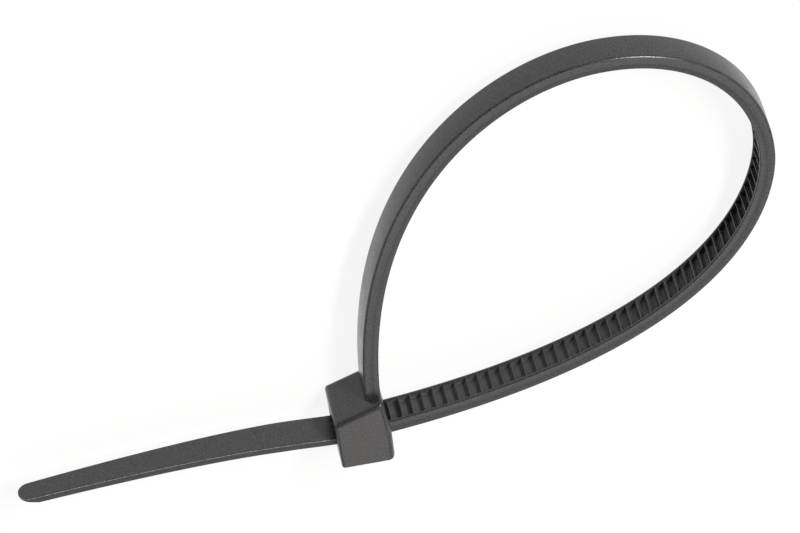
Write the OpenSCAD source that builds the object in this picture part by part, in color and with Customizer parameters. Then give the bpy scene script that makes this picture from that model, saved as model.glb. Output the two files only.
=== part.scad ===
// Cable tie, closed into a teardrop loop and lying on the side of its head.
// The slot of the head runs along X, the strap leaves the head towards +Y and enters the slot from +X.
// The origin is on the lower side face of the head, under the middle of the slot. Units are millimetres.

/* [Strap] */
// Width of the strap
strap_w = 2.65; // [2.45:0.05:2.85]
// Thickness of the strap, from its smooth outer face to the rails
strap_t = 1.2; // [1.1:0.02:1.3]
// Radius of the two outer edges
outer_edge_r = 0.2; // [0.1:0.02:0.3]
// Chamfer of the two inner edges
inner_edge = 0.04; // [0.03:0.01:0.1]
// How far each side face leans in from the parting line at mid thickness
side_draft = 0.03; // [0.01:0.01:0.06]

/* [Teeth] */
// Distance from one tooth to the next
tooth_pitch = 0.9; // [0.8:0.05:1.1]
// Depth of the valleys between the teeth, below the rails
tooth_depth = 0.47; // [0.4:0.01:0.52]
// How far the crests lie below the rails
crest_drop = 0.05; // [0.03:0.01:0.1]
// Length of the flat crest of a tooth
crest_len = 0.08; // [0.05:0.01:0.12]
// Length of the ramp behind a crest
ramp_len = 0.42; // [0.35:0.01:0.5]
// Width of each rail beside the teeth
rail_w = 0.25; // [0.2:0.01:0.35]
// Plain stretch of strap between the start of its root and the teeth
plain_len = 5.6; // [5:0.1:9]

/* [Loop] */
// Reach of the loop from the slot towards +X, along the middle of the strap
loop_reach = 32.75; // [30:0.05:36]
// Height of the loop from the slot towards +Y, along the middle of the strap
loop_height = 31.2; // [29:0.1:34]
// Place along X where the strap is highest
crown_x = 21.05; // [19:0.05:23]
// Place along Y where the strap reaches farthest
far_y = 19.55; // [18:0.05:21]
// Lean of the strap's root from the +Y direction, in degrees
root_lean = 2; // [0:0.5:4]
// Lean of the strap in the middle of the slot, in degrees
slot_lean = 2.5; // [1.5:0.25:3]

/* [Tail] */
// Distance from the middle of the slot to the tip, along X
tail_len = 26.3; // [20:0.1:34]
// Thickness of the smooth tail
tail_t = 0.73; // [0.65:0.01:0.8]
// Width of the tail where its round tip starts
tip_w = 1.7; // [1.3:0.05:2.1]
// How much thinner the very end of the tip is
tip_thin = 0.5; // [0.3:0.05:0.55]
// Length over which the outer face slopes to the end of the tip
tip_slope_len = 1.4; // [1.2:0.1:2]
// Length from the middle of the slot to the start of the taper
taper_start = 6.3; // [4:0.1:9]

/* [Head] */
// Width of the head across the strap
head_w = 4.8; // [4.5:0.1:5.6]
// Length of the head along the middle of its slot
head_len = 4.15; // [4:0.05:4.6]
// Distance from the middle of the slot to the base of the head
head_base = 2.1; // [1.8:0.05:2.4]
// How far the base falls towards the entry, in degrees
base_fall = 2.8; // [1:0.1:4]
// Lean of the entry and exit faces, which lets the head widen towards its shoulder, in degrees
face_draft = 0.8; // [0.2:0.1:1.5]
// Lean of the entry face back to the root, above the slot, in degrees
entry_lean = 5.3; // [3:0.1:7]
// Height of the sloping shoulder above the middle of the slot, at its low end
shoulder_low = 2.48; // [2.4:0.02:2.7]
// Rise of the shoulder towards the root, in degrees
shoulder_rise = 18; // [15:0.5:20]
// Radius of the shoulder's two long edges
shoulder_r = 0.5; // [0.3:0.05:0.8]
// Radius of the edges of the face that the strap enters
entry_edge_r = 0.5; // [0.2:0.05:0.6]
// Radius of the edges of the face that the tail leaves
exit_edge_r = 0.25; // [0.1:0.05:0.4]
// Radius of the edge between the base and the entry face
base_entry_r = 0.45; // [0.3:0.05:0.9]

/* [Slot and pawl] */
// Gap between the strap and the slot
slot_gap = 0.13; // [0.1:0.01:0.18]
// Gap between the teeth of the pawl and the teeth of the strap
pawl_gap = 0.06; // [0.04:0.01:0.09]
// Gap between the sides of the pawl and the rails of the strap
pawl_side_gap = 0.15; // [0.1:0.01:0.25]
// Number of teeth on the pawl
pawl_teeth = 3; // [2:1:3]
// Thickness of the pawl behind its teeth
pawl_t = 0.45; // [0.35:0.05:0.5]
// Room above the pawl
pawl_room = 0.3; // [0.2:0.05:0.35]

/* [Hidden] */
tie_colour = [0.24, 0.24, 0.25];

// The middle of the strap follows four smooth runs, each a cubic curve of four points
root_x = 1.1;
root_y = 3;
tail_end_y = 0.03;
tail_lean = 4;
root_pull = 20.9;
crown_pull_in = 7.7;
crown_pull_out = 6.4;
far_pull_in = 7.3;
far_pull_out = 3.5;
entry_pull = 30.1;
exit_pull = 4.5;
tail_pull = 0.8 * tail_len;

function toward(angle) = [cos(angle), sin(angle)];
root_dir = toward(90 - root_lean);
slot_dir = toward(180 + slot_lean);
tail_dir = toward(180 + tail_lean);
root_point = [root_x, root_y];
crown_point = [crown_x, loop_height];
far_point = [loop_reach, far_y];
slot_point = [0, 0];
tip_point = [-tail_len, tail_end_y];
runs = [
    [root_point, root_point + root_pull * root_dir, crown_point - [crown_pull_in, 0], crown_point],
    [crown_point, crown_point + [crown_pull_out, 0], far_point + [0, far_pull_in], far_point],
    [far_point, far_point - [0, far_pull_out], slot_point - entry_pull * slot_dir, slot_point],
    [slot_point, slot_point + exit_pull * slot_dir, tip_point - tail_pull * tail_dir, tip_point]
];

// A place on the route is u, from 0 at the root to 4 at the tip, with one unit for each run
function run_of(u) = min(floor(u), len(runs) - 1);
function curve_point(p, t) =
    pow(1 - t, 3) * p[0] + 3 * pow(1 - t, 2) * t * p[1] + 3 * (1 - t) * t * t * p[2] + pow(t, 3) * p[3];
function curve_slope(p, t) =
    pow(1 - t, 2) * (p[1] - p[0]) + 2 * (1 - t) * t * (p[2] - p[1]) + t * t * (p[3] - p[2]);
function route_point(u) = curve_point(runs[run_of(u)], u - run_of(u));
function route_slope(u) = curve_slope(runs[run_of(u)], u - run_of(u));
function outward(u) = let (d = route_slope(u)) [-d[1], d[0]] / norm(d);

// Length along the route, so that teeth keep their pitch on every bend
fine_steps = 60;
fine_last = fine_steps * len(runs);
fine_points = [for (i = [0 : fine_last]) route_point(i / fine_steps)];
fine_lengths = [
    for (i = 0, s = 0; i <= fine_last; s = s + (i < fine_last ? norm(fine_points[i + 1] - fine_points[i]) : 0),
        i = i + 1) s
];
length_to_u = [for (i = [0 : fine_last]) [fine_lengths[i], i / fine_steps]];
slot_s = fine_lengths[3 * fine_steps];
tip_s = fine_lengths[fine_last];
function u_at(s) = lookup(s, length_to_u);

// A point of the tie at length s, at a height off the middle of the strap, outer side positive
function off_route(s, height) = let (u = u_at(s)) route_point(u) + height * outward(u);

outer_face = strap_t / 2;
rail_face = -strap_t / 2;
crest_face = rail_face + crest_drop;
valley_face = rail_face + tooth_depth;
tail_face = outer_face - tail_t;

// The last tooth stands inside the head, crest_phase past the middle of the slot
crest_phase = 1.23;
teeth_before = floor((slot_s + crest_phase - plain_len) / tooth_pitch);
first_tooth_s = slot_s + crest_phase - teeth_before * tooth_pitch;
tooth_count = teeth_before + 1;
last_tooth_s = first_tooth_s + teeth_before * tooth_pitch;
last_ramp_s = last_tooth_s + crest_len + ramp_len;

// The strap's body is one skin through rings of points. Its channel floor lies under the teeth,
// which are added as one strip, so the floor keeps this distance below the valleys.
floor_drop = 0.06;
channel_floor = valley_face + floor_drop;
channel_half = strap_w / 2 - rail_w;
wall_draft = 0.48;
ramp_to_channel = 0.7;
ramp_to_tail = 0.3;
channel_start = first_tooth_s - ramp_to_channel;
tail_start = last_ramp_s + ramp_to_tail / 2;
tip_radius = tip_w / 2;

function blend(s, from_s, length, a, b) = a + (b - a) * max(0, min(1, (s - from_s) / length));
function inner_face(s) = blend(s, tail_start - ramp_to_tail / 2, ramp_to_tail, rail_face, tail_face);
function floor_face(s) =
    s < tail_start ? blend(s, channel_start, ramp_to_channel, rail_face, channel_floor) : tail_face;
function floor_half(s) =
    let (open = min(blend(s, channel_start, ramp_to_channel, 0, 1), blend(s, tail_start, ramp_to_tail, 1, 0)))
    channel_half * (0.5 + wall_draft * open);
function taper_half(s) = blend(s, slot_s + taper_start, tip_s - slot_s - taper_start, strap_w, tip_w) / 2;
function tip_factor(s) =
    let (d = max(0, min(1, (s - tip_s + tip_radius) / tip_radius))) sqrt(1 - 0.97 * d * d);
function half_width(s) = taper_half(s) * tip_factor(s);
function thinned_face(s) = blend(s, tip_s - tip_slope_len, tip_slope_len, outer_face, outer_face - tip_thin);

// Half of the ring at length s, as pairs of height and distance from the mid plane,
// from the outer face round the edge to the middle of the inner face
function half_ring(s) =
    let (
        w = half_width(s),
        lean = side_draft * w / (strap_w / 2),
        outer = thinned_face(s),
        inner = inner_face(s),
        middle = (outer + inner) / 2,
        edge = min(outer_edge_r, w / 2, 0.35 * (outer - inner)),
        chamfer = min(inner_edge, w / 8)
    )
    [
        [outer, w - lean - edge],
        [outer - 0.08 * edge, w - lean - 0.62 * edge],
        [outer - 0.38 * edge, w - lean - 0.22 * edge],
        [outer - edge, w - lean],
        [middle, w],
        [inner + chamfer, w - lean],
        [inner, w - lean - chamfer],
        [inner, channel_half * w / (strap_w / 2)],
        [max(inner, floor_face(s)), floor_half(s) * w / (strap_w / 2)]
    ];
function ring(s) =
    let (
        half = half_ring(s),
        n = len(half),
        flat = [
            for (p = half) [p[0], p[1]],
            for (i = [1 : n]) [half[n - i][0], -half[n - i][1]]
        ]
    )
    [for (p = flat) let (q = off_route(s, p[0])) [q[0], q[1], p[1]]];

// Rings stand close where the section changes and about one ring_step apart elsewhere
ring_step = 1;
function spread(from_s, to_s) =
    let (n = max(1, round((to_s - from_s) / ring_step)))
    [for (i = [0 : n - 1]) from_s + (to_s - from_s) * i / n];
tip_rings = 6;
ring_places = concat(
    spread(0, channel_start),
    [channel_start, channel_start + ramp_to_channel / 2],
    spread(first_tooth_s, tail_start - ramp_to_tail / 2),
    [tail_start - ramp_to_tail / 2, tail_start, tail_start + ramp_to_tail / 2],
    spread(tail_start + ramp_to_tail, slot_s + taper_start),
    spread(slot_s + taper_start, tip_s - tip_slope_len),
    spread(tip_s - tip_slope_len, tip_s - tip_radius),
    [for (i = [0 : tip_rings]) tip_s - tip_radius * (1 - sin(90 * i / tip_rings))]
);

module strap_body() {
    rings = [for (s = ring_places) ring(s)];
    n = len(rings[0]);
    last = len(rings) - 1;
    polyhedron(
        points = [for (r = rings) each r],
        faces = [
            [for (j = [0 : n - 1]) j],
            [for (j = [0 : n - 1]) last * n + n - 1 - j],
            for (i = [0 : last - 1], j = [0 : n - 1])
                let (k = (j + 1) % n) [i * n + j, (i + 1) * n + j, (i + 1) * n + k, i * n + k]
        ],
        convexity = 10
    );
}

// The teeth: a saw profile along the inside of the bend. The steep face of each looks back
// to the root, and its ramp falls towards the tip.
module tooth_strip() {
    bite = 0.16;
    seat = 0.1;
    crests = [
        for (i = [0 : tooth_count - 1])
            let (s = first_tooth_s + i * tooth_pitch)
            each [
                off_route(s, valley_face),
                off_route(s, crest_face),
                off_route(s + crest_len, crest_face),
                off_route(s + crest_len + ramp_len, valley_face)
            ]
    ];
    back = [for (i = [0 : tooth_count - 1]) off_route(last_ramp_s - i * tooth_pitch, valley_face + bite)];
    translate([0, 0, -channel_half - seat])
        linear_extrude(2 * (channel_half + seat))
            polygon(concat(crests, back));
}

// A closed outline with every corner rounded to its own radius
round_steps = 6;
function unit(v) = v / norm(v);
function turned(v, angle) = [v[0] * cos(angle) - v[1] * sin(angle), v[0] * sin(angle) + v[1] * cos(angle)];
function rounded_corner(before, p, after, r) =
    let (
        a = unit(before - p),
        b = unit(after - p),
        half = acos(a * b) / 2,
        centre = p + unit(a + b) * r / sin(half),
        start = p + a * r / tan(half) - centre,
        turn = (a[0] * b[1] > a[1] * b[0] ? -1 : 1) * (180 - 2 * half)
    )
    [for (i = [0 : round_steps]) centre + turned(start, turn * i / round_steps)];
function rounded(corners, radii) =
    let (n = len(corners))
    [for (i = [0 : n - 1]) each rounded_corner(corners[(i + n - 1) % n], corners[i], corners[(i + 1) % n], radii[i])];

// The point where two lines meet, each given by a point and an angle
function meet(p, p_angle, q, q_angle) =
    let (d = toward(p_angle), e = toward(q_angle), w = q - p)
    p + d * (w[0] * e[1] - w[1] * e[0]) / (d[0] * e[1] - d[1] * e[0]);

// The head seen along Z, as five straight faces. Above the slot the entry face leans back, so that
// it runs into the inner face of the strap's root.
half_len = head_len / 2;
half_w = head_w / 2;
lean_start = 0.2;
ridge_r = 0.3;
bend_r = 2;
shoulder_corner_r = 0.35;
exit_angle = 90 + face_draft;
entry_angle = 90 - face_draft;
upper_angle = 90 + entry_lean;
exit_point = [-half_len, 0];
entry_point = [half_len, 0];
base_point = [-half_len, -head_base];
shoulder_point = [-half_len, shoulder_low];
upper_point = meet(entry_point, entry_angle, [0, lean_start], 0);
side_outline = rounded(
    [
        meet(exit_point, exit_angle, base_point, -base_fall),
        meet(entry_point, entry_angle, base_point, -base_fall),
        upper_point,
        meet(upper_point, upper_angle, shoulder_point, shoulder_rise),
        meet(exit_point, exit_angle, shoulder_point, shoulder_rise)
    ],
    [exit_edge_r, base_entry_r, bend_r, ridge_r, shoulder_corner_r]
);

// A long bar that keeps the space below one of the head's faces. It runs along the face at the given
// angle, and the two edges of the face are rounded.
module face_bar(point, angle, edge_r) {
    reach = 3 * head_len;
    translate(point)
        rotate([90, 0, 90 + angle])
            translate([0, 0, -reach / 2])
                linear_extrude(reach)
                    polygon(rounded(
                        [[0, -half_w], [0, half_w], [-reach, half_w], [-reach, -half_w]],
                        [edge_r, edge_r, edge_r, edge_r]
                    ));
}

module head_block() {
    intersection() {
        translate([0, 0, -half_w])
            linear_extrude(head_w)
                polygon(side_outline);
        face_bar(shoulder_point, shoulder_rise, shoulder_r);
        face_bar(base_point, 180 - base_fall, exit_edge_r);
        face_bar(exit_point, exit_angle, exit_edge_r);
        face_bar(entry_point, entry_angle - 180, entry_edge_r);
        face_bar(upper_point, upper_angle - 180, entry_edge_r);
    }
}

// The slot keeps slot_gap off the strap, which bends a little on its way through
strap_rise = max(off_route(slot_s - half_len, 0)[1], off_route(slot_s + half_len, 0)[1]);
slot_floor = -strap_t / 2 - slot_gap;
slot_top = strap_t / 2 + slot_gap + strap_rise;
slot_half = strap_w / 2 + slot_gap;
mouth_depth = 0.35;
mouth_flare = 0.25;

module slot() {
    reach = head_len;
    translate([-reach, slot_floor, -slot_half])
        cube([2 * reach, slot_top - slot_floor, 2 * slot_half]);
    mouth_start = half_len - mouth_depth;
    mouth_end = half_len + mouth_depth;
    intersection() {
        translate([0, 0, -half_w])
            linear_extrude(head_w)
                polygon([
                    [mouth_start, slot_floor],
                    [mouth_end, slot_floor - 2 * mouth_flare],
                    [mouth_end, slot_top + 2 * mouth_flare],
                    [mouth_start, slot_top]
                ]);
        rotate([90, 0, 0])
            translate([0, 0, -half_w])
                linear_extrude(head_w)
                    polygon([
                        [mouth_start, -slot_half],
                        [mouth_end, -slot_half - 2 * mouth_flare],
                        [mouth_end, slot_half + 2 * mouth_flare],
                        [mouth_start, slot_half]
                    ]);
    }
}

// The pawl hangs on the wall above the entry and points to the exit. Its teeth lie in the strap's
// valleys with pawl_gap all round, steep faces towards the tail.
pawl_half = channel_half - pawl_side_gap;
pawl_under = crest_face - pawl_gap;
pawl_tip = valley_face - pawl_gap;
pawl_tip_len = tooth_pitch - crest_len - ramp_len - 2 * pawl_gap;
pawl_nose = off_route(last_tooth_s - pawl_gap, pawl_under - pawl_t);
hinge_x = half_len - 0.65;
hinge_fillet = 0.2;

module pawl_chamber() {
    chamber_half = pawl_half + pawl_side_gap;
    translate([-head_len, 0, -chamber_half])
        cube([head_len + hinge_x, pawl_nose[1] + pawl_room, 2 * chamber_half]);
}

module pawl() {
    hold = 0.1;
    back_y = pawl_nose[1];
    teeth = [
        for (i = [0 : pawl_teeth - 1])
            let (s = last_tooth_s - i * tooth_pitch - pawl_gap)
            each [
                off_route(s, pawl_under),
                off_route(s, pawl_tip),
                off_route(s - pawl_tip_len, pawl_tip),
                off_route(s - pawl_tip_len - ramp_len, pawl_under)
            ]
    ];
    hinge = [
        [hinge_x + hold, slot_top],
        [hinge_x + hold, back_y + hinge_fillet],
        [hinge_x, back_y + hinge_fillet],
        [hinge_x - hinge_fillet, back_y],
        pawl_nose
    ];
    translate([0, 0, -pawl_half])
        linear_extrude(2 * pawl_half)
            polygon(concat(teeth, hinge));
}

module head() {
    difference() {
        head_block();
        slot();
        pawl_chamber();
    }
    pawl();
}

union() {  // cable_tie
    color(tie_colour) translate([0, 0, half_w]) {
        strap_body();
        tooth_strip();
        head();
    }
}
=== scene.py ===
"""Cable tie, closed into a teardrop loop and lying on the side of its head.

The strap is modelled straight, as it comes out of its mould: a plain stretch at the root, one pitch
of toothed strap that is repeated, and a smooth tail. It is then bent along the loop's route, and its
root is joined to the head. X runs along the slot, Y from the base of the head to the root, Z up.
"""

import math
from functools import partial

import bmesh
import bpy
from bpy.props import FloatProperty, FloatVectorProperty, IntProperty, PointerProperty
from mathutils import Matrix, Vector
from mathutils.kdtree import KDTree


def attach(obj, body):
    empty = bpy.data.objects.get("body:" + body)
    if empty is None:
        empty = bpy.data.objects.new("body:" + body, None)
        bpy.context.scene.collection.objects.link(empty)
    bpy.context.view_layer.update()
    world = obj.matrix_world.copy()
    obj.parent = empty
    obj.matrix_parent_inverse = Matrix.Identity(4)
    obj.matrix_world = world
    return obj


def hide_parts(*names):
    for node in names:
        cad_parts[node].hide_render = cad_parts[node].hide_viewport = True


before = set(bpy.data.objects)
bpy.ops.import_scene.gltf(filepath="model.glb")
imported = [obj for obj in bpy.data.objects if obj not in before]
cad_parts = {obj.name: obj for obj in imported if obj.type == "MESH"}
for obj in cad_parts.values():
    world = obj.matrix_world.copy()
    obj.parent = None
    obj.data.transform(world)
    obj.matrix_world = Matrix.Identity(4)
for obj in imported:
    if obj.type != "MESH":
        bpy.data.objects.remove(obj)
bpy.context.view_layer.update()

bl_info = {
    "name": "Cable tie",
    "version": (1, 0, 0),
    "blender": (4, 5, 0),
    "location": "View3D > Sidebar > Cable tie",
    "description": "Builds a closed cable tie with ratchet teeth, a locking head and a smooth tail",
    "category": "Add Mesh",
}

MM = 0.001
CAD_NODE = "cable_tie"
BODY = "root"
TIE_NAME = "moulded_tie"
STRAP_NAME = "bent_strap"
HEAD_NAME = "locking_head"
ROUTE_NAME = "strap_route"
PITCH_NAME = "one_pitch"


# Settings


def length_prop(name, description, millimetres):
    """A length that the panel shows in the scene's own unit."""
    return FloatProperty(
        name=name,
        description=description,
        default=millimetres * MM,
        min=0.0,
        precision=5,
        subtype="DISTANCE",
        unit="LENGTH",
    )


def angle_prop(name, description, degrees):
    """An angle that the panel shows in degrees."""
    return FloatProperty(
        name=name,
        description=description,
        default=math.radians(degrees),
        subtype="ANGLE",
        unit="ROTATION",
    )


def colour_prop(name, description, value):
    """A colour that the panel shows as a swatch."""
    return FloatVectorProperty(
        name=name,
        description=description,
        subtype="COLOR",
        size=3,
        min=0.0,
        max=1.0,
        default=value,
    )


class StrapSettings(bpy.types.PropertyGroup):
    """Section of the strap."""

    width: length_prop("Width", "Width of the strap at its parting line", 2.65)
    thickness: length_prop("Thickness", "From the smooth outer face to the rails", 1.2)
    edge_radius: length_prop("Outer edge radius", "Radius of the two outer edges", 0.2)
    rail_edge: length_prop("Rail edge radius", "Radius of the rails' outer edges", 0.11)
    rail_lip: length_prop("Rail lip radius", "Radius of the rails' edges beside the teeth", 0.025)
    draft: length_prop("Draft", "Lean of the side on the toothed half of the mould", 0.03)
    flash: length_prop("Flash", "Height of the fine bead along the parting line", 0.015)
    outer_draft: length_prop("Outer draft", "Lean of the side on the outer half of the mould", 0.03)
    rail_width: length_prop("Rail width", "Width of each rail beside the teeth", 0.25)
    plain_length: length_prop("Plain length", "Plain stretch between the root and the teeth", 5.6)


class TeethSettings(bpy.types.PropertyGroup):
    """Row of ratchet teeth."""

    pitch: length_prop("Pitch", "Distance from one tooth to the next", 0.9)
    depth: length_prop("Valley depth", "Depth of the valleys below the rails", 0.47)
    crest_drop: length_prop("Crest drop", "How far the crests lie below the rails", 0.05)
    crest_length: length_prop("Crest length", "Length of the flat crest", 0.08)
    ramp_length: length_prop("Ramp length", "Length of the ramp behind a crest", 0.42)
    last_crest: length_prop("Last crest", "How far past the slot's middle the last tooth stands", 1.23)


class LoopSettings(bpy.types.PropertyGroup):
    """Route of the strap, along the middle of its thickness."""

    root_x: length_prop("Root X", "Place of the strap's root along X", 1.1)
    root_y: length_prop("Root Y", "Place of the strap's root along Y", 3.0)
    root_lean: angle_prop("Root lean", "Lean of the root from the Y direction", 2.0)
    crown_x: length_prop("Crown X", "Where the strap is highest", 21.05)
    height: length_prop("Height", "Height of the crown above the slot", 31.2)
    reach: length_prop("Reach", "Reach of the loop from the slot", 32.75)
    far_y: length_prop("Far Y", "Where the strap reaches farthest", 19.55)
    slot_lean: angle_prop("Slot lean", "Lean of the strap in the slot", 2.5)
    tail_lean: angle_prop("Tail lean", "Lean of the tail at its tip", 4.0)
    tail_length: length_prop("Tail length", "From the slot's middle to the tip", 26.3)
    tail_rise: length_prop("Tail rise", "Height of the tip above the slot's middle", 0.03)


class TailSettings(bpy.types.PropertyGroup):
    """Smooth tail behind the teeth."""

    thickness: length_prop("Thickness", "Thickness of the tail", 0.73)
    tip_width: length_prop("Tip width", "Width where the round tip starts", 1.7)
    taper_start: length_prop("Taper start", "From the slot's middle to the start of the taper", 6.3)
    tip_thinning: length_prop("Tip thinning", "How much thinner the end of the tip is", 0.5)
    tip_slope: length_prop("Tip slope", "Length over which the outer face slopes to the tip", 1.4)


class HeadSettings(bpy.types.PropertyGroup):
    """Locking head with its slot and pawl."""

    width: length_prop("Width", "Width across the strap", 4.8)
    length: length_prop("Length", "Length along the middle of the slot", 4.15)
    base: length_prop("Base", "From the slot's middle down to the base", 2.1)
    base_fall: angle_prop("Base fall", "How far the base falls towards the entry", 2.8)
    face_draft: angle_prop("Face draft", "Lean of the entry and exit faces", 0.8)
    entry_lean: angle_prop("Entry lean", "Lean of the entry face above the slot", 5.3)
    lean_start: length_prop("Lean start", "Height at which the entry face starts to lean", 0.2)
    shoulder_low: length_prop("Shoulder", "Height of the shoulder at its low end", 2.48)
    shoulder_rise: angle_prop("Shoulder rise", "Rise of the shoulder towards the root", 18.0)
    shoulder_radius: length_prop("Shoulder radius", "Radius of the shoulder's long edges", 0.5)
    entry_radius: length_prop("Entry radius", "Radius of the entry face's edges", 0.5)
    exit_radius: length_prop("Exit radius", "Radius of the exit face's and base's edges", 0.25)
    base_entry_radius: length_prop("Base corner radius", "Radius between base and entry face", 0.45)
    ridge_radius: length_prop("Ridge radius", "Radius between shoulder and entry face", 0.3)
    shoulder_corner: length_prop("Shoulder corner", "Radius between shoulder and exit face", 0.35)
    slot_gap: length_prop("Slot gap", "Gap between the strap and the slot", 0.13)
    mouth_depth: length_prop("Mouth depth", "Depth of the slot's flared mouth", 0.35)
    mouth_flare: length_prop("Mouth flare", "How far the mouth opens out on each side", 0.25)
    rim_radius: length_prop("Rim radius", "Radius of the slot's edges", 0.05)
    pawl_gap: length_prop("Pawl gap", "Gap between the pawl's teeth and the strap's", 0.06)
    pawl_side_gap: length_prop("Pawl side gap", "Gap between the pawl and the rails", 0.15)
    pawl_thickness: length_prop("Pawl thickness", "Thickness of the pawl behind its teeth", 0.45)
    pawl_room: length_prop("Pawl room", "Room above the pawl", 0.3)
    pawl_teeth: IntProperty(name="Pawl teeth", description="Number of teeth on the pawl", default=3)


class NylonSettings(bpy.types.PropertyGroup):
    """Finish of the moulded nylon."""

    colour: colour_prop("Colour", "Colour of the nylon", (0.007, 0.007, 0.009))
    bloom: colour_prop("Bloom", "Paler colour of the skin's grain", (0.045, 0.045, 0.049))
    # Valley is painted light: a paler colour that lifts the shade in the recesses between the teeth
    valley: colour_prop("Valley", "Paler colour deep between the teeth", (0.065, 0.065, 0.067))
    # Painted glints: whitish specks that stand in for glints of light on the flash along the tail
    painted_glint_colour: colour_prop("Painted glint", "Whitish specks on the flash along the tail", (0.5, 0.49, 0.47))
    grain: length_prop("Grain size", "Size of the fine grain of the moulded skin", 0.12)
    cloud: length_prop("Cloud size", "Size of the faint clouds in the gloss", 1.6)


class StudioSettings(bpy.types.PropertyGroup):
    """Floor, lamps and camera."""

    floor_size: length_prop("Floor size", "Side of the square floor", 1600.0)
    world_level: FloatProperty(name="World level", description="Even light from all round", default=0.65)
    shade: FloatProperty(name="Shade", description="Share of that light behind the camera", default=0.1)
    fill_level: FloatProperty(name="Fill level", description="Brightness of the fill lamp", default=1.1)
    key_level: FloatProperty(name="Key level", description="Brightness of the key lamp", default=46.0)
    distance: length_prop("Camera distance", "From the camera to the middle of the slot", 527.2)
    tilt: angle_prop("Camera tilt", "Angle of the camera from straight above", 42.88)
    azimuth: angle_prop("Camera azimuth", "Turn of the camera about Z", -4.79)
    roll: angle_prop("Camera roll", "Turn of the camera about its own axis", -8.87)


# Helpers


def place_object(name, data):
    """A new object in the scene's collection."""
    made = bpy.data.objects.new(name, data)
    bpy.context.collection.objects.link(made)
    return made


def object_from(bm, name):
    """A mesh object from a bmesh, which is freed."""
    mesh = bpy.data.meshes.new(name)
    bm.to_mesh(mesh)
    bm.free()
    return place_object(name, mesh)


def baked(source, name):
    """A plain mesh object from the evaluated source, which is removed."""
    bpy.context.view_layer.update()
    evaluated = source.evaluated_get(bpy.context.evaluated_depsgraph_get())
    mesh = bpy.data.meshes.new_from_object(evaluated)
    mesh.name = name
    bpy.data.objects.remove(source)
    return place_object(name, mesh)


# Inputs of a Map Range node, in the order of a range's two levels and its two results
MAP_INPUTS = ("From Min", "From Max", "To Min", "To Max")


def add_node(tree, kind, inputs=None, output=None, **settings):
    """A new node's named output, or the node itself. An input gets a value or a link from a socket."""
    node = tree.nodes.new(kind)
    for key, value in settings.items():
        setattr(node, key, value)
    for key, value in (inputs or {}).items():
        if isinstance(value, bpy.types.NodeSocket):
            tree.links.new(value, node.inputs[key])
        else:
            node.inputs[key].default_value = value
    return node.outputs[output] if output else node


def new_material(name):
    """A material with an empty tree, and a function that adds nodes to it."""
    material = bpy.data.materials.new(name)
    material.use_nodes = True
    material.node_tree.nodes.clear()
    return material, partial(add_node, material.node_tree)


# Route of the strap

# Length of the strap inside the head, before its root
LEAD = 1.2 * MM
RUN_STEPS = 160
# How far the handles of the route's curves reach from the root, the crown, the far point and the slot
ROOT_PULL = 20.9 * MM
CROWN_PULL_IN = 7.7 * MM
CROWN_PULL_OUT = 6.4 * MM
FAR_PULL_IN = 7.3 * MM
FAR_PULL_OUT = 3.5 * MM
ENTRY_PULL = 30.1 * MM
EXIT_PULL = 4.5 * MM
TAIL_PULL_SHARE = 0.8


def toward(angle):
    """Unit vector in the XY plane at an angle from X."""
    return Vector((math.cos(angle), math.sin(angle), 0.0))


def route_runs(loop):
    """The five cubic runs of the route: a straight lead inside the head, then root to crown to far
    point to slot to tip."""
    root_dir = toward(math.pi / 2 - loop.root_lean)
    slot_dir = toward(math.pi + loop.slot_lean)
    tail_dir = toward(math.pi + loop.tail_lean)
    root = Vector((loop.root_x, loop.root_y, 0.0))
    start = root - LEAD * root_dir
    crown = Vector((loop.crown_x, loop.height, 0.0))
    far = Vector((loop.reach, loop.far_y, 0.0))
    slot = Vector((0.0, 0.0, 0.0))
    tip = Vector((-loop.tail_length, loop.tail_rise, 0.0))
    across = Vector((1.0, 0.0, 0.0))
    up = Vector((0.0, 1.0, 0.0))
    return [
        (start, start.lerp(root, 1 / 3), start.lerp(root, 2 / 3), root),
        (root, root + ROOT_PULL * root_dir, crown - CROWN_PULL_IN * across, crown),
        (crown, crown + CROWN_PULL_OUT * across, far + FAR_PULL_IN * up, far),
        (far, far - FAR_PULL_OUT * up, slot - ENTRY_PULL * slot_dir, slot),
        (slot, slot + EXIT_PULL * slot_dir, tip - TAIL_PULL_SHARE * loop.tail_length * tail_dir, tip),
    ]


def cubic_point(run, t):
    """Point of a cubic run at t from 0 to 1."""
    a, b, c, d = run
    u = 1 - t
    return u**3 * a + 3 * u * u * t * b + 3 * u * t * t * c + t**3 * d


class Route:
    """Lengths along the route, and points off it, as the bending tree makes them."""

    def __init__(self, loop):
        self.points = []
        for i, run in enumerate(route_runs(loop)):
            first = 0 if i == 0 else 1
            self.points += [cubic_point(run, k / RUN_STEPS) for k in range(first, RUN_STEPS + 1)]
        self.lengths = [0.0]
        for a, b in zip(self.points, self.points[1:]):
            self.lengths.append(self.lengths[-1] + (b - a).length)
        self.slot = self.lengths[4 * RUN_STEPS]
        self.tip = self.lengths[-1]

    def off(self, s, height):
        """Point at length s, at a height off the middle of the strap, outer side positive."""
        i = next((k for k, v in enumerate(self.lengths[1:]) if v >= s), len(self.lengths) - 2)
        span = self.points[i + 1] - self.points[i]
        along = span.normalized()
        p = self.points[i] + along * (s - self.lengths[i])
        return p + height * Vector((-along.y, along.x, 0.0))


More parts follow.
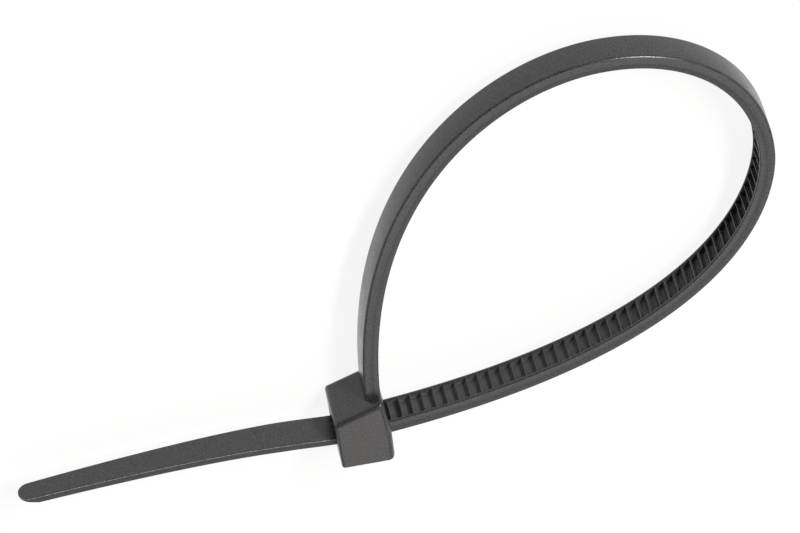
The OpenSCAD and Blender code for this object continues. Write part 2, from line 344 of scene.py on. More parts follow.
def make_route_curve(loop):
    """The route as a Bezier curve object that the bending tree reads."""
    runs = route_runs(loop)
    curve = bpy.data.curves.new(ROUTE_NAME, "CURVE")
    curve.dimensions = "3D"
    curve.resolution_u = RUN_STEPS
    spline = curve.splines.new("BEZIER")
    spline.bezier_points.add(len(runs))
    for i, knot in enumerate(spline.bezier_points):
        before = runs[i - 1] if i > 0 else None
        after = runs[i] if i < len(runs) else None
        knot.handle_left_type = knot.handle_right_type = "FREE"
        knot.co = after[0] if after else before[3]
        knot.handle_left = before[2] if before else knot.co
        knot.handle_right = after[1] if after else knot.co
    return place_object(ROUTE_NAME, curve)


# Section of the strap

EDGE_STEPS = 5
RIM_STEPS = 3
# Size of the fillet at the foot of a rail, and half the height of the bead on the parting line
FOOT = 0.03 * MM
FLASH_HALF = 0.035 * MM
# Where the strap is thin or narrow, its roundings take at most these shares of what is there
EDGE_OF_HALF = 0.7
EDGE_OF_THICKNESS = 0.4
RIM_OF_HALF = 0.3
RIM_OF_THICKNESS = 0.2
RIM_OF_STEP = 0.4
BEAD_OF_THICKNESS = 0.1
# Least distance from the rim to the parting line, in half heights of the bead
SEAM_SPACE = 1.2
# Where the points of a rail's inner wall stand, in widths of its lip
LIP_MIDDLE = 0.3
WALL_LEAN = 0.5
FOOT_LEAN = 1.5


class Section:
    """Sections of the strap, as rings of (height, distance from the mid plane)."""

    def __init__(self, strap, teeth, tail):
        self.half = strap.width / 2
        self.draft = strap.draft
        self.outer_draft = strap.outer_draft
        self.flash = strap.flash
        self.edge = strap.edge_radius
        self.rim = strap.rail_edge
        self.lip = strap.rail_lip
        self.channel = strap.width / 2 - strap.rail_width
        self.outer = strap.thickness / 2
        self.rail = -strap.thickness / 2
        self.crest = self.rail + teeth.crest_drop
        self.valley = self.rail + teeth.depth
        self.tail = self.outer - tail.thickness

    def half_ring(self, outer, inner, floor, half):
        """From the outer face, round the side, to the floor of the channel. The parting line runs
        along the side at the height of the tail's inner face."""
        share = half / self.half
        thick = outer - inner
        edge = min(self.edge, EDGE_OF_HALF * half, EDGE_OF_THICKNESS * thick)
        low_rim = max(self.lip, RIM_OF_STEP * (self.tail - inner))
        rim = min(self.rim, RIM_OF_HALF * half, RIM_OF_THICKNESS * thick, low_rim)
        bead = min(FLASH_HALF, BEAD_OF_THICKNESS * thick)
        seam = max(self.tail, inner + rim + SEAM_SPACE * bead)
        depth = floor - inner
        lip = min(self.lip, depth / 2)
        foot = min(FOOT, depth / 4)
        wall = self.channel * share
        side = half - self.outer_draft * share
        ring = []
        for i in range(EDGE_STEPS + 1):
            a = math.pi / 2 * i / EDGE_STEPS
            ring.append((outer - edge + edge * math.cos(a), side - edge + edge * math.sin(a)))
        root = half - self.flash * share * bead / FLASH_HALF
        ring += [(seam + bead, root), (seam, half), (seam - bead, root)]
        side = half - self.draft * share * (seam - inner) / (self.tail - self.rail)
        for i in range(RIM_STEPS + 1):
            a = math.pi / 2 * i / RIM_STEPS
            ring.append((inner + rim - rim * math.sin(a), side - rim + rim * math.cos(a)))
        step = self.lip * share
        ring += [
            (inner, wall + step),
            (inner + LIP_MIDDLE * lip, wall + LIP_MIDDLE * step),
            (inner + lip, wall),
            (floor - foot, wall - WALL_LEAN * step),
            (floor, wall - FOOT_LEAN * step),
        ]
        return ring

    def ring(self, s, outer=None, inner=None, floor=None, half=None):
        """A closed ring of points at length s of the unbent strap."""
        outer = self.outer if outer is None else outer
        inner = self.rail if inner is None else inner
        floor = max(inner, inner if floor is None else floor)
        side = self.half_ring(outer, inner, floor, self.half if half is None else half)
        mirrored = [(h, -z) for h, z in reversed(side)]
        return [Vector((s, h, z)) for h, z in side + mirrored]


# Lengths of the roundings of a tooth: before its steep face, up that face, and at the ends of its ramp
PITCH_LEAD = 0.02 * MM
STEEP_LENGTH = 0.02 * MM
STEEP_TOP = 0.012 * MM
ROUNDING = 0.03 * MM
# Heights of the same roundings, as shares of the tooth's rise
STEEP_SHARE = 0.05
CREST_START_SHARE = 0.012
CREST_END_SHARE = 0.004
RAMP_START_SHARE = 0.08
RAMP_FOOT_SHARE = 0.06


def tooth_rings(section, teeth, start):
    """Rings over one tooth, from the foot of its steep face at start to the end of its ramp. The
    steep face looks back to the root, and both ends of the crest are softly rounded."""
    crest, valley = section.crest, section.valley
    rise = valley - crest
    top = start + STEEP_LENGTH
    ramp = top + teeth.crest_length
    ramp_middle = start + teeth.crest_length + teeth.ramp_length / 2
    foot = start + teeth.crest_length + teeth.ramp_length
    steps = [
        (start - PITCH_LEAD, valley),
        (start, valley - STEEP_SHARE * rise),
        (start + STEEP_TOP, crest + STEEP_SHARE * rise),
        (top, crest + CREST_START_SHARE * rise),
        (top + ROUNDING, crest),
        (ramp - STEEP_LENGTH, crest + CREST_END_SHARE * rise),
        (ramp + ROUNDING, crest + RAMP_START_SHARE * rise),
        (ramp_middle, crest + rise / 2),
        (foot - ROUNDING, valley - RAMP_FOOT_SHARE * rise),
        (foot + ROUNDING, valley),
    ]
    return [section.ring(s, floor=floor) for s, floor in steps]


# Marks that the finish reads for its painted light between the teeth and its painted glints on the
# tail, and which points of half a ring get them
DEPTH = "depth"
FLASH = "flash"
FLOOR_POINTS = 2
SEAM_POINT = EDGE_STEPS + 2
# The parting line counts as the tail's edge where it is this close to the inner face
SEAM_AT_EDGE = 0.12 * MM


def ring_marks(rings):
    """How deep each point of the rings lies in the channel, for the painted light between the teeth,
    and 1 where the parting line runs along the inner edge of the tail, for the painted glints."""
    marks = {DEPTH: [], FLASH: []}
    for ring in rings:
        rail = min(p.y for p in ring)
        last = len(ring) - 1
        for j, point in enumerate(ring):
            in_channel = abs(j - last / 2) < FLOOR_POINTS
            at_seam = min(j, last - j) == SEAM_POINT and point.y - rail < SEAM_AT_EDGE
            marks[DEPTH].append(point.y - rail if in_channel else 0.0)
            marks[FLASH].append(1.0 if at_seam else 0.0)
    return marks


def skin(name, rings, cap_start=False, cap_end=False):
    """A mesh object with quads between rings, and optional end caps."""
    bm = bmesh.new()
    loops = [[bm.verts.new(p) for p in ring] for ring in rings]
    n = len(rings[0])
    for a, b in zip(loops, loops[1:]):
        for j in range(n):
            k = (j + 1) % n
            bm.faces.new((a[j], a[k], b[k], b[j]))
    if cap_start:
        bm.faces.new(reversed(loops[0]))
    if cap_end:
        bm.faces.new(loops[-1])
    bm.normal_update()
    made = object_from(bm, name)
    for mark, values in ring_marks(rings).items():
        made.data.attributes.new(mark, "FLOAT", "POINT").data.foreach_set("value", values)
    return made


def spread(start, end, step):
    """Even places from start up to but not including end."""
    n = max(1, round((end - start) / step))
    return [start + (end - start) * i / n for i in range(n)]


# Distance between the rings of a plain stretch
RING_STEP = 0.4 * MM
# The channel starts with a ramp and a flat valley, and ends with a flat valley and a ramp to the tail
CHANNEL_RAMP = 0.5 * MM
FIRST_VALLEY = 0.3 * MM
LAST_VALLEY = 0.04 * MM
TAIL_RAMP = 0.3 * MM
TAIL_START = 0.1 * MM
# Radius of the tip's two long edges at its end, and the width that is left there
TIP_ROUND = 0.08 * MM
TIP_FLAT = 0.4 * MM
TIP_STEPS = 20


class TeethPlaces:
    """Where the row of teeth starts and ends, counted back from its last tooth in the head."""

    def __init__(self, teeth, strap, route):
        self.last = route.slot + teeth.last_crest
        room = self.last - LEAD - strap.plain_length
        self.repeats = int(room / teeth.pitch)
        self.first = self.last - self.repeats * teeth.pitch


def make_one_pitch(section, teeth):
    """The strap over one pitch, its start at zero. The tree repeats it along the strap."""
    rings = tooth_rings(section, teeth, PITCH_LEAD)
    rings.append(section.ring(teeth.pitch, floor=section.valley))
    return skin(PITCH_NAME, rings)


def make_root_stretch(section, places):
    """The plain stretch from inside the head to the first valley."""
    end = places.first - PITCH_LEAD
    ramp_end = end - FIRST_VALLEY
    ramp_start = ramp_end - CHANNEL_RAMP
    rings = [section.ring(s) for s in spread(0.0, ramp_start, RING_STEP)]
    rings.append(section.ring(ramp_start))
    rings.append(section.ring(ramp_end, floor=section.valley))
    rings.append(section.ring(end, floor=section.valley))
    return skin("root_stretch", rings, cap_start=True)


def tail_ring(section, tail, route, s):
    """Ring of the smooth tail: it tapers to the tip, which is round in plan and thins at its end."""
    taper_start = route.slot + tail.taper_start
    tip_radius = tail.tip_width / 2
    t = min(1.0, max(0.0, (s - taper_start) / (route.tip - taper_start)))
    half = section.half + (tip_radius - section.half) * t
    inset = max(0.0, (s - route.tip + tip_radius) / tip_radius)
    roundness = math.sqrt(max(0.0, 1 - inset * inset))
    left = route.tip - s
    outer = section.outer - tail.tip_thinning * max(0.0, 1 - left / tail.tip_slope)
    inner = section.tail
    if left < TIP_ROUND:
        cut = TIP_ROUND - math.sqrt(TIP_ROUND**2 - (TIP_ROUND - left) ** 2)
        outer -= cut
        inner += cut
    return section.ring(s, outer=outer, inner=inner, half=max(half * roundness, TIP_FLAT / 2))


def make_tail(section, teeth, tail, places, route):
    """The last tooth, the short ramp to the tail and the tail itself."""
    start = places.last
    ramp_end = start + teeth.crest_length + teeth.ramp_length + LAST_VALLEY + TAIL_RAMP
    rings = tooth_rings(section, teeth, start)
    rings.append(section.ring(ramp_end, inner=section.tail))
    taper_start = route.slot + tail.taper_start
    tip_radius = tail.tip_width / 2
    tip_start = route.tip - tip_radius
    knots = (ramp_end + TAIL_START, taper_start, route.tip - tail.tip_slope, tip_start)
    for a, b in zip(knots, knots[1:]):
        rings += [tail_ring(section, tail, route, s) for s in spread(a, b, RING_STEP)]
    for i in range(TIP_STEPS + 1):
        a = math.pi / 2 * i / TIP_STEPS
        rings.append(tail_ring(section, tail, route, tip_start + tip_radius * math.sin(a)))
    return skin("tail", rings, cap_end=True)


# Bending tree

TREE_INPUTS = (
    ("Geometry", "Geometry", "Root stretch and tail, unbent"),
    ("One pitch", "Object", "The strap over one pitch"),
    ("Route", "Object", "Curve that the strap follows"),
    ("First tooth", "Float", "Length at which the first pitch starts"),
    ("Pitch", "Float", "Distance from one tooth to the next"),
    ("Repeats", "Int", "How many times the pitch is repeated"),
    ("Weld distance", "Float", "Points this close are joined"),
    ("Lift", "Float", "Height of the strap's mid plane above the table"),
    ("Material", "Material", "Finish of the strap"),
)


def build_bending_tree():
    """Repeats one pitch of strap between the root stretch and the tail, welds them, and bends the
    whole strap along the route. The unbent strap has its length along X and its height along Y."""
    tree = bpy.data.node_groups.new("Bend toothed strap", "GeometryNodeTree")
    for name, kind, description in TREE_INPUTS:
        kind = "NodeSocket" + kind
        tree.interface.new_socket(name, in_out="INPUT", socket_type=kind, description=description)
    tree.interface.new_socket("Geometry", in_out="OUTPUT", socket_type="NodeSocketGeometry")
    node = partial(add_node, tree)
    source = node("NodeGroupInput").outputs
    info = "GeometryNodeObjectInfo"
    pitch = node(info, {"Object": source["One pitch"]}, "Geometry", transform_space="ORIGINAL")
    route = node(info, {"Object": source["Route"]}, "Geometry", transform_space="ORIGINAL")

    first = node("ShaderNodeCombineXYZ", {"X": source["First tooth"]}, "Vector")
    offset = node("ShaderNodeCombineXYZ", {"X": source["Pitch"]}, "Vector")
    places = {"Count": source["Repeats"], "Start Location": first, "Offset": offset}
    line = node("GeometryNodeMeshLine", places, "Mesh", mode="OFFSET")
    copies = node("GeometryNodeInstanceOnPoints", {"Points": line, "Instance": pitch}, "Instances")
    real = node("GeometryNodeRealizeInstances", {"Geometry": copies}, "Geometry")
    joined = node("GeometryNodeJoinGeometry", {"Geometry": real})
    tree.links.new(source["Geometry"], joined.inputs["Geometry"])
    weld = {"Geometry": joined.outputs["Geometry"], "Distance": source["Weld distance"]}
    welded = node("GeometryNodeMergeByDistance", weld, "Geometry")

    math_node, vector_node = "ShaderNodeMath", "ShaderNodeVectorMath"
    place = node("GeometryNodeInputPosition").outputs["Position"]
    parts = node("ShaderNodeSeparateXYZ", {"Vector": place}).outputs
    along = {"Curves": route, "Length": parts["X"]}
    sample = node(
        "GeometryNodeSampleCurve", along, mode="LENGTH", data_type="FLOAT", use_all_curves=False
    ).outputs
    cross = {0: (0.0, 0.0, 1.0), 1: sample["Tangent"]}
    outward = node(vector_node, cross, "Vector", operation="CROSS_PRODUCT")
    raised = node(vector_node, {0: outward, "Scale": parts["Y"]}, "Vector", operation="SCALE")
    height = node(math_node, {0: parts["Z"], 1: source["Lift"]}, "Value", operation="ADD")
    lift = node("ShaderNodeCombineXYZ", {"Z": height}, "Vector")
    on_route = node(vector_node, {0: sample["Position"], 1: raised}, "Vector", operation="ADD")
    target = node(vector_node, {0: on_route, 1: lift}, "Vector", operation="ADD")

    bent = node("GeometryNodeSetPosition", {"Geometry": welded, "Position": target}, "Geometry")
    plain = node("GeometryNodeRealizeInstances", {"Geometry": bent}, "Geometry")
    paint = {"Geometry": plain, "Material": source["Material"]}
    painted = node("GeometryNodeSetMaterial", paint, "Geometry")
    node("NodeGroupOutput", {"Geometry": painted})
    return tree


def set_inputs(modifier, values):
    """Sets a geometry tree's inputs, which a modifier knows only by their identifiers."""
    for item in modifier.node_group.interface.items_tree:
        if item.in_out == "INPUT" and item.name in values:
            modifier[item.identifier] = values[item.name]


def merge_into(target, other):
    """Adds the other object's mesh to the target's, and removes the other."""
    bm = bmesh.new()
    bm.from_mesh(target.data)
    bm.from_mesh(other.data)
    bm.to_mesh(target.data)
    bm.free()
    bpy.data.objects.remove(other)


# Head


def meet(p, p_angle, q, q_angle):
    """Where two lines in the XY plane meet, each given by a point and an angle."""
    d, e, w = toward(p_angle), toward(q_angle), q - p
    return p + d * ((w.x * e.y - w.y * e.x) / (d.x * e.y - d.y * e.x))


def head_corners(head):
    """Corners of the head seen along Z, with the radius at each corner and along the face after it."""
    half = head.length / 2
    up = math.pi / 2
    exit_point = Vector((-half, 0.0, 0.0))
    entry_point = Vector((half, 0.0, 0.0))
    base_point = Vector((-half, -head.base, 0.0))
    shoulder_point = Vector((-half, head.shoulder_low, 0.0))
    bend = meet(entry_point, up - head.face_draft, Vector((0.0, head.lean_start, 0.0)), 0.0)
    exit_up = up + head.face_draft
    entry_up = up - head.face_draft
    fall = -head.base_fall
    rise = head.shoulder_rise
    low_exit = meet(exit_point, exit_up, base_point, fall)
    low_entry = meet(entry_point, entry_up, base_point, fall)
    ridge = meet(bend, up + head.entry_lean, shoulder_point, rise)
    high_exit = meet(exit_point, exit_up, shoulder_point, rise)
    return [
        (low_exit, head.exit_radius, head.exit_radius),
        (low_entry, head.base_entry_radius, head.entry_radius),
        (bend, 0.0, head.entry_radius),
        (ridge, head.ridge_radius, head.shoulder_radius),
        (high_exit, head.shoulder_corner, head.exit_radius),
    ]


def solid_between(name, near, far):
    """A closed solid between two rings of as many points each."""
    bm = bmesh.new()
    near = [bm.verts.new(p) for p in near]
    far = [bm.verts.new(p) for p in far]
    n = len(near)
    bm.faces.new(reversed(near))
    bm.faces.new(far)
    for i in range(n):
        j = (i + 1) % n
        bm.faces.new((near[i], near[j], far[j], far[i]))
    bmesh.ops.recalc_face_normals(bm, faces=bm.faces)
    return object_from(bm, name)


def prism(name, outline, low, high):
    """A solid between two heights with an outline of XY points."""
    return solid_between(name, *([(p.x, p.y, z) for p in outline] for z in (low, high)))


def xy(*pairs):
    """Points in the XY plane."""
    return [Vector((x, y, 0.0)) for x, y in pairs]


def combine(target, other, operation):
    """Boolean of two solids, baked into the target, and the other is removed."""
    boolean = target.modifiers.new("boolean", "BOOLEAN")
    boolean.operation = operation
    boolean.solver = "EXACT"
    boolean.object = other
    made = baked(target, target.name)
    bpy.data.objects.remove(other)
    return made


EDGE_SEGMENTS = 8
RIM_SEGMENTS = 3
RIM_ANGLE = math.radians(40)


def make_head_block(head):
    """The outside of the head. Each edge has its own radius, as a share of the largest one."""
    corners = head_corners(head)
    block = prism(HEAD_NAME, [c[0] for c in corners], 0.0, head.width)
    largest = max(max(c[1], c[2]) for c in corners)
    bm = bmesh.new()
    bm.from_mesh(block.data)
    weight = bm.edges.layers.float.new("bevel_weight_edge")
    n = len(corners)

    def corner_of(vert):
        return min(range(n), key=lambda i: (corners[i][0].xy - vert.co.xy).length)

    for edge in bm.edges:
        i, j = sorted(corner_of(v) for v in edge.verts)
        if i == j:
            radius = corners[i][1]
        else:
            radius = corners[i if j == i + 1 else j][2]
        edge[weight] = radius / largest
    bm.to_mesh(block.data)
    bm.free()
    bevel = block.modifiers.new("edges", "BEVEL")
    bevel.limit_method = "WEIGHT"
    bevel.width = largest
    bevel.segments = EDGE_SEGMENTS
    bevel.use_clamp_overlap = False
    return baked(block, HEAD_NAME)


def funnel(name, x_start, x_end, low, high, half, flare, middle):
    """The flared mouth: a frustum that opens towards +X."""
    rings = []
    for x, more in ((x_start, 0.0), (x_end, flare)):
        bottom, top, side = low - more, high + more, half + more
        corners = ((bottom, -side), (top, -side), (top, side), (bottom, side))
        rings.append([(x, y, z + middle) for y, z in corners])
    return solid_between(name, *rings)


# Place of the pawl's root behind the entry face, its fillet, and how far it reaches into the head
HINGE_INSET = 0.65 * MM
HINGE_FILLET = 0.2 * MM
HINGE_HOLD = 0.1 * MM


def pawl_outline(head, teeth, section, route, places, slot_top, hinge_x):
    """The pawl seen along Z. Its teeth lie in the strap's last valleys."""
    under = section.crest - head.pawl_gap
    tip = section.valley - head.pawl_gap
    tip_length = teeth.pitch - teeth.crest_length - teeth.ramp_length - 2 * head.pawl_gap
    nose = route.off(places.last - head.pawl_gap, under - head.pawl_thickness)
    points = []
    for i in range(head.pawl_teeth):
        s = places.last - i * teeth.pitch - head.pawl_gap
        points += [
            route.off(s, under),
            route.off(s, tip),
            route.off(s - tip_length, tip),
            route.off(s - tip_length - teeth.ramp_length, under),
        ]
    points += xy(
        (hinge_x + HINGE_HOLD, slot_top),
        (hinge_x + HINGE_HOLD, nose.y + HINGE_FILLET),
        (hinge_x, nose.y + HINGE_FILLET),
        (hinge_x - HINGE_FILLET, nose.y),
    )
    points.append(nose)
    return points, nose.y


def make_head(head, strap, teeth, section, route, places):
    """The head with its slot, its flared mouth, the room over the pawl and the pawl itself."""
    half = head.length / 2
    middle = head.width / 2
    # The strap leans in the slot, so the roof is higher than the strap's middle asks for
    rise = max(route.off(route.slot - half, 0.0).y, route.off(route.slot + half, 0.0).y)
    slot_floor = -strap.thickness / 2 - head.slot_gap
    slot_top = strap.thickness / 2 + head.slot_gap + rise
    slot_half = strap.width / 2 + head.slot_gap
    hinge_x = half - HINGE_INSET
    pawl_half = section.channel - head.pawl_side_gap
    pawl_points, back_y = pawl_outline(head, teeth, section, route, places, slot_top, hinge_x)

    made = make_head_block(head)
    reach = head.length
    slot = prism(
        "slot",
        xy((-reach, slot_floor), (reach, slot_floor), (reach, slot_top), (-reach, slot_top)),
        middle - slot_half,
        middle + slot_half,
    )
    made = combine(made, slot, "DIFFERENCE")
    # The funnel ends as far outside the head as it starts inside, so its flare is doubled
    mouth = funnel(
        "mouth",
        half - head.mouth_depth,
        half + head.mouth_depth,
        slot_floor,
        slot_top,
        slot_half,
        2 * head.mouth_flare,
        middle,
    )
    made = combine(made, mouth, "DIFFERENCE")
    room_top = back_y + head.pawl_room
    room = prism(
        "pawl_room",
        xy((-reach, 0.0), (hinge_x, 0.0), (hinge_x, room_top), (-reach, room_top)),
        middle - section.channel,
        middle + section.channel,
    )
    made = combine(made, room, "DIFFERENCE")
    rims = made.modifiers.new("rims", "BEVEL")
    rims.limit_method = "ANGLE"
    rims.angle_limit = RIM_ANGLE
    rims.width = head.rim_radius
    rims.segments = RIM_SEGMENTS
    made = baked(made, HEAD_NAME)
    pawl = prism("pawl", pawl_points, middle - pawl_half, middle + pawl_half)
    return combine(made, pawl, "UNION")


# Finish

NYLON_NAME = "black nylon"
NYLON_IOR = 1.48
# Detail and roughness of the noise for the clouds and for the grain
CLOUD_NOISE = (3.0, 0.6)
GRAIN_NOISE = (4.0, 0.65)
# Levels of noise between which the bloom comes in, and the gloss changes
SPECK_LEVELS = (0.32, 0.68)
GLOSS_LEVELS = (0.3, 0.7)
SKIN_ROUGHNESS = (0.2, 0.3)
VALLEY_ROUGHNESS = 0.55
BUMP_STRENGTH = 0.35
BUMP_HEIGHT = 0.03 * MM


def build_nylon(settings, valley_depth):
    """Black moulded nylon: a satin skin with a fine grain and faint clouds in its gloss, matter deep
    between the teeth and paler there as painted light, and with whitish specks of painted glints on the
    flash along the tail."""
    material, node = new_material(NYLON_NAME)
    place = node("ShaderNodeTexCoord").outputs["Object"]

    def noise(size, detail, roughness):
        inputs = {"Vector": place, "Scale": 1 / size, "Detail": detail, "Roughness": roughness}
        return node("ShaderNodeTexNoise", inputs, "Fac")

    def between(value, levels, results=(0.0, 1.0)):
        inputs = dict(zip(MAP_INPUTS, levels + results), Value=value)
        return node("ShaderNodeMapRange", inputs, "Result")

    def mixed(factor, start, end, kind="RGBA"):
        return node("ShaderNodeMix", {"Factor": factor, "A": start, "B": end}, "Result", data_type=kind)

    def mark(name):
        return node("ShaderNodeAttribute", attribute_name=name).outputs["Fac"]

    clouds = noise(settings.cloud, *CLOUD_NOISE)
    grain = noise(settings.grain, *GRAIN_NOISE)
    specks = between(grain, SPECK_LEVELS)
    deep = between(mark(DEPTH), (0.0, valley_depth))
    # Painted glints: whitish specks on the flash along the tail's inner edge
    painted_glint_mask = node("ShaderNodeMath", {0: mark(FLASH), 1: specks}, "Value", operation="MULTIPLY")
    colour = mixed(specks, (*settings.colour, 1.0), (*settings.bloom, 1.0))
    # Painted light: the deeper a point lies between the teeth, the paler it is made
    colour = mixed(deep, colour, (*settings.valley, 1.0))
    colour = mixed(painted_glint_mask, colour, (*settings.painted_glint_colour, 1.0))
    gloss = between(clouds, GLOSS_LEVELS, SKIN_ROUGHNESS)
    roughness = mixed(deep, gloss, VALLEY_ROUGHNESS, "FLOAT")
    relief = {"Height": grain, "Strength": BUMP_STRENGTH, "Distance": BUMP_HEIGHT}
    bump = node("ShaderNodeBump", relief, "Normal")
    skin_inputs = {"Base Color": colour, "Roughness": roughness, "IOR": NYLON_IOR, "Normal": bump}
    surface = node("ShaderNodeBsdfPrincipled", skin_inputs, "BSDF")
    node("ShaderNodeOutputMaterial", {"Surface": surface})
    return material


def nylon():
    """The nylon, built once."""
    scene = bpy.context.scene
    built = bpy.data.materials.get(NYLON_NAME)
    return built or build_nylon(scene.tie_nylon, scene.tie_teeth.depth)


# Points of the strap and of the tie this close are the same
SAME_POINT = 0.001 * MM


def restore_marks(mesh, points, marks):
    """Gives the mesh the marks of the strap's points, as the union doesn't keep them in place."""
    tree = KDTree(len(points))
    for i, point in enumerate(points):
        tree.insert(point, i)
    tree.balance()
    found = [tree.find(vertex.co) for vertex in mesh.vertices]
    for name, values in marks.items():
        layer = mesh.attributes.get(name) or mesh.attributes.new(name, "FLOAT", "POINT")
        restored = [values[i] if distance < SAME_POINT else 0.0 for _, i, distance in found]
        layer.data.foreach_set("value", restored)


SHARP_ANGLE = math.radians(32)
FLAT_WEIGHT = 60


def finish_tie(tie):
    """Smooth shading with crisp edges, flat faces kept flat, and one material."""
    mesh = tie.data
    mesh.materials.clear()
    mesh.materials.append(nylon())
    for polygon in mesh.polygons:
        polygon.material_index = 0
        polygon.use_smooth = True
    mesh.set_sharp_from_angle(angle=SHARP_ANGLE)
    weighted = tie.modifiers.new("flat faces", "WEIGHTED_NORMAL")
    weighted.keep_sharp = True
    weighted.weight = FLAT_WEIGHT
    return baked(tie, TIE_NAME)


# Operators

WELD_DISTANCE = 0.002 * MM


def plan(scene):
    """The strap's route, its section and the places of its teeth, from the settings."""
    strap, teeth = scene.tie_strap, scene.tie_teeth
    route = Route(scene.tie_loop)
    return route, Section(strap, teeth, scene.tie_tail), TeethPlaces(teeth, strap, route)


class TIE_OT_strap(bpy.types.Operator):
    """Model the strap straight and bend it along its route"""

    bl_idname = "tie.strap"
    bl_label = "Strap"

    def execute(self, context):
        scene = context.scene
        teeth = scene.tie_teeth
        route, section, places = plan(scene)
        straight = make_root_stretch(section, places)
        merge_into(straight, make_tail(section, teeth, scene.tie_tail, places, route))
        one_pitch = make_one_pitch(section, teeth)
        curve = make_route_curve(scene.tie_loop)
        bend = straight.modifiers.new("bend", "NODES")
        bend.node_group = build_bending_tree()
        set_inputs(
            bend,
            {
                "One pitch": one_pitch,
                "Route": curve,
                "First tooth": places.first - PITCH_LEAD,
                "Pitch": teeth.pitch,
                "Repeats": places.repeats,
                "Weld distance": WELD_DISTANCE,
                "Lift": scene.tie_head.width / 2,
                "Material": nylon(),
            },
        )
        baked(straight, STRAP_NAME)
        bpy.data.objects.remove(one_pitch)
        bpy.data.objects.remove(curve)
        return {"FINISHED"}


class TIE_OT_head(bpy.types.Operator):
    """Model the head with its slot and pawl"""

    bl_idname = "tie.head"
    bl_label = "Head"

    def execute(self, context):
        scene = context.scene
        route, section, places = plan(scene)
        make_head(scene.tie_head, scene.tie_strap, scene.tie_teeth, section, route, places)
        return {"FINISHED"}


class TIE_OT_join(bpy.types.Operator):
    """Join the strap's root to the head, as one moulding"""

    bl_idname = "tie.join"
    bl_label = "One moulding"

    def execute(self, context):
        strap = bpy.data.objects[STRAP_NAME]
        points = [v.co.copy() for v in strap.data.vertices]
        layers = strap.data.attributes
        marks = {name: [d.value for d in layers[name].data] for name in (DEPTH, FLASH)}
        tie = combine(bpy.data.objects[HEAD_NAME], strap, "UNION")
        restore_marks(tie.data, points, marks)
        tie = finish_tie(tie)
        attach(tie, BODY)
        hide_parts(CAD_NODE)
        return {"FINISHED"}


# Stage

# Size of the photograph, its focal length, and the place of the slot's middle in it, in pixels
PHOTO_WIDTH = 800
PHOTO_HEIGHT = 533
FOCAL_PX = 7000.0
SLOT_PX = (360.57, 422.79)
SENSOR = 36.0
CLIP_START = 10 * MM
CLIP_END = 10.0
# What the lamps look at, how far away they stand, and in which directions
LOOP_MIDDLE = (0.015, 0.015, 0.0)
CROWN = (0.024, 0.031, 0.003)
LAMP_DISTANCE = 0.5
FILL_SIDE = (0.05, -0.42, 0.9)
FILL_SIZE = (0.45, 0.45)
FILL_COLOUR = (1.0, 0.94, 0.84)
KEY_SIDE = (0.42, 0.52, 0.74)
KEY_ALONG = (-0.1, -0.8, 0.6)
KEY_SIZE = (0.065, 0.32)
KEY_COLOUR = (1.0, 0.98, 0.95)
WORLD_COLOUR = (0.97, 0.985, 1.0, 1.0)
# Cosines of the angles from the camera's side at which the world starts to darken and is darkest
FADE_START = 0.1
FADE_END = 0.85
PAPER_COLOUR = (0.75, 0.75, 0.75, 1.0)
# Share of plain white in the floor that the camera sees; the rest keeps the tie's shadow
WHITE_SHARE = 0.88


def build_floor_material():
    """Plain pale floor: white to the camera and in reflections, with part of the tie's shadow kept."""
    material, node = new_material("pale floor")
    rays = node("ShaderNodeLightPath").outputs
    seen = {0: rays["Is Camera Ray"], 1: WHITE_SHARE}
    share = node("ShaderNodeMath", seen, "Value", operation="MULTIPLY")
    for kind in ("Is Glossy Ray", "Is Transmission Ray"):
        share = node("ShaderNodeMath", {0: share, 1: rays[kind]}, "Value", operation="MAXIMUM")
    paper = node("ShaderNodeBsdfDiffuse", {"Color": PAPER_COLOUR}, "BSDF")
    white = node("ShaderNodeEmission", {"Strength": 1.0}, "Emission")
    mix = node("ShaderNodeMixShader", {"Fac": share, 1: paper, 2: white}, "Shader")
    node("ShaderNodeOutputMaterial", {"Surface": mix})
    return material


def make_floor(size):
    """A square floor at the height that the head lies on."""
    half = size / 2
    mesh = bpy.data.meshes.new("floor")
    corners = [(-half, -half, 0), (half, -half, 0), (half, half, 0), (-half, half, 0)]
    mesh.from_pydata(corners, [], [(0, 1, 2, 3)])
    mesh.materials.append(build_floor_material())
    floor = place_object("floor", mesh)


def set_world(level, shade, camera_side):
    """Even pale light from all round, darker towards the camera, as behind a photographer."""
    world = bpy.data.worlds.new("white studio")
    bpy.context.scene.world = world
    world.use_nodes = True
    node = partial(add_node, world.node_tree)
    background = world.node_tree.nodes["Background"]
    background.inputs["Color"].default_value = WORLD_COLOUR
    around = node("ShaderNodeTexCoord").outputs["Generated"]
    sides = {0: around, 1: camera_side}
    facing = node("ShaderNodeVectorMath", sides, "Value", operation="DOT_PRODUCT")
    levels = (FADE_START, FADE_END, level, level * shade)
    inputs = dict(zip(MAP_INPUTS, levels), Value=facing)
    fade = node("ShaderNodeMapRange", inputs, "Result", interpolation_type="SMOOTHSTEP")
    world.node_tree.links.new(fade, background.inputs["Strength"])


def make_lamp(name, target, direction, along, size, radiance, colour):
    """A soft lamp that looks at a target from a direction, with its second side along another. Its
    power is what gives a flat lamp of this size the radiance."""
    lamp = bpy.data.lights.new(name, "AREA")
    lamp.shape = "RECTANGLE"
    lamp.size, lamp.size_y = size
    lamp.energy = 4 * size[0] * size[1] * radiance
    lamp.color = colour
    back = Vector(direction).normalized()
    up = Vector(along)
    up = (up - up.dot(back) * back).normalized()
    turn = Matrix((up.cross(back), up, back)).transposed().to_4x4()
    holder = place_object(name, lamp)
    holder.matrix_world = Matrix.Translation(Vector(target) + LAMP_DISTANCE * back) @ turn


def camera_direction(studio):
    """From the tie towards the camera."""
    tilt, azimuth = studio.tilt, studio.azimuth
    flat = math.sin(tilt)
    return Vector((flat * math.sin(azimuth), flat * math.cos(azimuth), math.cos(tilt)))


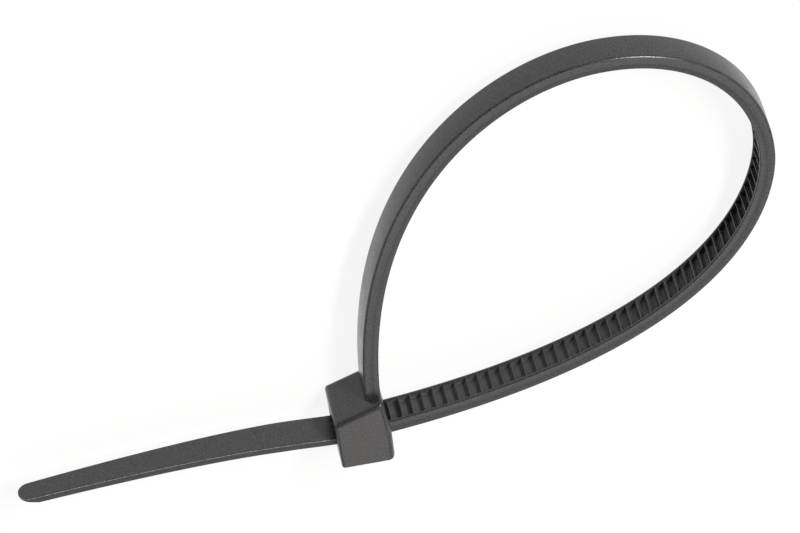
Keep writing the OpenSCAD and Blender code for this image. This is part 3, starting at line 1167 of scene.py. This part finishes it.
def make_camera(studio, lift):
    """A camera at the photograph's angle, with the slot's middle at its place in the frame."""
    roll = studio.roll
    back = camera_direction(studio)
    up = Vector((0.0, 1.0, 0.0))
    up = (up - up.dot(back) * back).normalized()
    right = up.cross(back)
    turned_right = right * math.cos(roll) + up * math.sin(roll)
    turned_up = up * math.cos(roll) - right * math.sin(roll)
    per_px = studio.distance / FOCAL_PX
    aside = (SLOT_PX[0] - PHOTO_WIDTH / 2) * per_px
    below = (SLOT_PX[1] - PHOTO_HEIGHT / 2) * per_px
    place = Vector((0.0, 0.0, lift)) - aside * turned_right + below * turned_up + studio.distance * back
    camera = bpy.data.cameras.new("photo camera")
    camera.sensor_width = SENSOR
    camera.lens = FOCAL_PX / PHOTO_WIDTH * SENSOR
    camera.clip_start = CLIP_START
    camera.clip_end = CLIP_END
    turn = Matrix((turned_right, turned_up, back)).transposed().to_4x4()
    holder = place_object("photo camera", camera)
    holder.matrix_world = Matrix.Translation(place) @ turn
    bpy.context.scene.camera = holder


class TIE_OT_stage(bpy.types.Operator):
    """Set the floor, the lamps and the camera"""

    bl_idname = "tie.stage"
    bl_label = "Stage"

    def execute(self, context):
        scene = context.scene
        studio = scene.tie_studio
        scene.view_settings.view_transform = "Standard"
        make_floor(studio.floor_size)
        set_world(studio.world_level, studio.shade, camera_direction(studio))
        fill, key = studio.fill_level, studio.key_level
        make_lamp("fill lamp", LOOP_MIDDLE, FILL_SIDE, KEY_SIDE, FILL_SIZE, fill, FILL_COLOUR)
        make_lamp("key lamp", CROWN, KEY_SIDE, KEY_ALONG, KEY_SIZE, key, KEY_COLOUR)
        make_camera(studio, scene.tie_head.width / 2)
        return {"FINISHED"}


class TIE_PT_panel(bpy.types.Panel):
    """Panel with the tie's settings and the steps that build it"""

    bl_label = "Cable tie"
    bl_idname = "TIE_PT_panel"
    bl_space_type = "VIEW_3D"
    bl_region_type = "UI"
    bl_category = "Cable tie"

    def draw(self, context):
        layout = self.layout
        for name, group in SETTINGS:
            box = layout.box()
            box.label(text=group.__doc__)
            settings = getattr(context.scene, name)
            for key in group.__annotations__:
                box.prop(settings, key)
        for step in STEPS:
            layout.operator(step.bl_idname)


SETTINGS = (
    ("tie_strap", StrapSettings),
    ("tie_teeth", TeethSettings),
    ("tie_loop", LoopSettings),
    ("tie_tail", TailSettings),
    ("tie_head", HeadSettings),
    ("tie_nylon", NylonSettings),
    ("tie_studio", StudioSettings),
)
STEPS = (TIE_OT_strap, TIE_OT_head, TIE_OT_join, TIE_OT_stage)


def register():
    """Registers the settings, the steps and the panel."""
    for name, group in SETTINGS:
        bpy.utils.register_class(group)
        setattr(bpy.types.Scene, name, PointerProperty(type=group))
    for step in STEPS:
        bpy.utils.register_class(step)
    bpy.utils.register_class(TIE_PT_panel)


def unregister():
    """Takes away what register added."""
    bpy.utils.unregister_class(TIE_PT_panel)
    for step in reversed(STEPS):
        bpy.utils.unregister_class(step)
    for name, group in reversed(SETTINGS):
        delattr(bpy.types.Scene, name)
        bpy.utils.unregister_class(group)


def main():
    """Builds the tie and its stage."""
    register()
    bpy.ops.tie.strap()
    bpy.ops.tie.head()
    bpy.ops.tie.join()
    bpy.ops.tie.stage()


if __name__ == "__main__":
    main()
